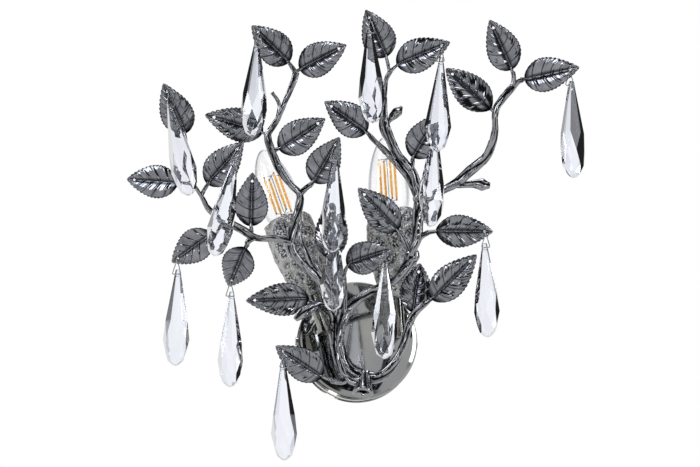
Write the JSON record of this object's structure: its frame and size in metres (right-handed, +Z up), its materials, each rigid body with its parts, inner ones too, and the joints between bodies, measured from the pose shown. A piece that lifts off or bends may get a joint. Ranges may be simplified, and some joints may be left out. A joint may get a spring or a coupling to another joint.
{
  "type": "wall sconce",
  "caption": "Twin-light wall sconce: round wall plate, cast branches with toothed leaves, hanging faceted crystal drops and two candle bulbs in cups.",
  "frame": {"origin": "middle of the bracket's back face, on the wall", "axes": "+X to the viewer's right, +Z up, the sconce stands out of the wall towards -Y"},
  "size_m": [0.3472, 0.2263, 0.3402],
  "materials": {
    "cut_crystal": "clear lead-free crystal, cut and polished",
    "drop_wire": "polished chromed wire",
    "leaf_gunmetal": "polished black nickel on cast leaf",
    "branch_gunmetal": "polished black nickel on cast bark",
    "polished_gunmetal": "turned and plated black nickel",
    "mirror_gunmetal": "mirror black nickel on pressed steel",
    "sand_cast_cup": "sand-cast, grey plated",
    "bulb_glass": "clear blown glass",
    "bulb_cap_brass": "nickel-plated brass",
    "filament_amber": "amber coated rods on wire",
    "lampholder_black": "moulded thermoset",
    "lead_silicone": "silicone sleeved lead",
    "zinc_steel": "zinc plated",
    "block_nylon": "moulded nylon",
    "brass_fixings": "machined brass"
  },
  "bodies": {
    "root": {"cup_left": "sand_cast_cup", "cup_right": "sand_cast_cup", "earth_screw": "brass_fixings", "lampholder_left": "lampholder_black", "lampholder_right": "lampholder_black", "lead_left": "lead_silicone", "lead_right": "lead_silicone", "leaves_centre": "leaf_gunmetal", "leaves_far_left": "leaf_gunmetal", "leaves_far_right": "leaf_gunmetal", "leaves_low_left": "leaf_gunmetal", "leaves_low_right": "leaf_gunmetal", "leaves_top_left": "leaf_gunmetal", "leaves_top_middle": "leaf_gunmetal", "left_branch": "branch_gunmetal", "lock_nuts": "brass_fixings", "outer_branch": "branch_gunmetal", "right_branch": "branch_gunmetal", "side_screws": "polished_gunmetal", "stem_cap_nuts": "polished_gunmetal", "stem_left": "polished_gunmetal", "stem_right": "polished_gunmetal", "terminal_block": "block_nylon", "trunk_casting": "branch_gunmetal", "wall_bracket": "zinc_steel", "wall_plate": "mirror_gunmetal"},
    "bulb_left": {"bulb_cap_left": "bulb_cap_brass", "bulb_glass_left": "bulb_glass", "filament_mount_left": "filament_amber"},
    "bulb_right": {"bulb_cap_right": "bulb_cap_brass", "bulb_glass_right": "bulb_glass", "filament_mount_right": "filament_amber"},
    "drop_01": {"crystal_01": "cut_crystal", "hook_01": "drop_wire"},
    "drop_02": {"crystal_02": "cut_crystal", "hook_02": "drop_wire"},
    "drop_03": {"crystal_03": "cut_crystal", "hook_03": "drop_wire"},
    "drop_04": {"crystal_04": "cut_crystal", "hook_04": "drop_wire"},
    "drop_05": {"crystal_05": "cut_crystal", "hook_05": "drop_wire"},
    "drop_06": {"crystal_06": "cut_crystal", "hook_06": "drop_wire"},
    "drop_07": {"crystal_07": "cut_crystal", "hook_07": "drop_wire"},
    "drop_08": {"crystal_08": "cut_crystal", "hook_08": "drop_wire"},
    "drop_09": {"crystal_09": "cut_crystal", "hook_09": "drop_wire"},
    "drop_10": {"crystal_10": "cut_crystal", "hook_10": "drop_wire"},
    "drop_11": {"crystal_11": "cut_crystal", "hook_11": "drop_wire"},
    "drop_12": {"crystal_12": "cut_crystal", "hook_12": "drop_wire"},
    "drop_13": {"crystal_13": "cut_crystal", "hook_13": "drop_wire"},
    "drop_14": {"crystal_14": "cut_crystal", "hook_14": "drop_wire"}
  },
  "joints": [
    {"name": "swing_01", "type": "hinge", "parent": "root", "child": "drop_01", "pos_m": [-0.10272, -0.17685, 0.21286], "axis": [0.4676, -0.8839, 0], "range_deg": [-25, 25]},
    {"name": "swing_02", "type": "hinge", "parent": "root", "child": "drop_02", "pos_m": [-0.01587, -0.19002, 0.22459], "axis": [0.2987, -0.9544, 0], "range_deg": [-25, 25]},
    {"name": "swing_03", "type": "hinge", "parent": "root", "child": "drop_03", "pos_m": [0.04329, -0.18579, 0.2055], "axis": [-0.52, -0.8542, 0], "range_deg": [-25, 25]},
    {"name": "swing_04", "type": "hinge", "parent": "root", "child": "drop_04", "pos_m": [0.13883, -0.21812, 0.17815], "axis": [-0.691, -0.7229, 0], "range_deg": [-25, 25]},
    {"name": "swing_05", "type": "hinge", "parent": "root", "child": "drop_05", "pos_m": [0.09193, -0.1083, 0.0757], "axis": [0.0532, -0.9986, 0], "range_deg": [-7, 25]},
    {"name": "swing_06", "type": "hinge", "parent": "root", "child": "drop_06", "pos_m": [-0.17101, -0.12721, 0.17751], "axis": [0.1375, -0.9905, 0], "range_deg": [-25, 3]},
    {"name": "swing_07", "type": "hinge", "parent": "root", "child": "drop_07", "pos_m": [-0.11384, -0.14043, 0.12717], "axis": [-0.4439, -0.8961, 0], "range_deg": [-20, 25]},
    {"name": "swing_08", "type": "hinge", "parent": "root", "child": "drop_08", "pos_m": [-0.15663, -0.09002, 0.04912], "axis": [-0.5005, -0.8657, 0], "range_deg": [-25, 25]},
    {"name": "swing_09", "type": "hinge", "parent": "root", "child": "drop_09", "pos_m": [-0.11237, -0.07487, 0.03592], "axis": [-0.4915, -0.8709, 0], "range_deg": [-25, 20]},
    {"name": "swing_10", "type": "hinge", "parent": "root", "child": "drop_10", "pos_m": [-0.06998, -0.07644, -0.02216], "axis": [0.1643, -0.9864, 0], "range_deg": [-25, 25]},
    {"name": "swing_11", "type": "hinge", "parent": "root", "child": "drop_11", "pos_m": [-0.03732, -0.15263, 0.13022], "axis": [-0.5055, -0.8628, 0], "range_deg": [-20, 20]},
    {"name": "swing_12", "type": "hinge", "parent": "root", "child": "drop_12", "pos_m": [0.04184, -0.16253, 0.1514], "axis": [-0.5289, -0.8487, 0], "range_deg": [-25, 25]},
    {"name": "swing_13", "type": "hinge", "parent": "root", "child": "drop_13", "pos_m": [0.00889, -0.1122, 0.05507], "axis": [-0.6419, -0.7668, 0], "range_deg": [-20, 20]},
    {"name": "swing_14", "type": "hinge", "parent": "root", "child": "drop_14", "pos_m": [-0.03313, -0.10798, 0.09341], "axis": [-0.1366, -0.9906, 0], "range_deg": [-25, 15]},
    {"name": "unscrew_left", "type": "hinge", "parent": "root", "child": "bulb_left", "pos_m": [-0.044, -0.066, 0.026], "axis": [-0.31, 0.1127, 0.944], "range_deg": [0, 1080]},
    {"name": "unscrew_right", "type": "hinge", "parent": "root", "child": "bulb_right", "pos_m": [0.026, -0.062, 0.028], "axis": [-0.0793, -0.1057, 0.9912], "range_deg": [0, 1080]}
  ]
}
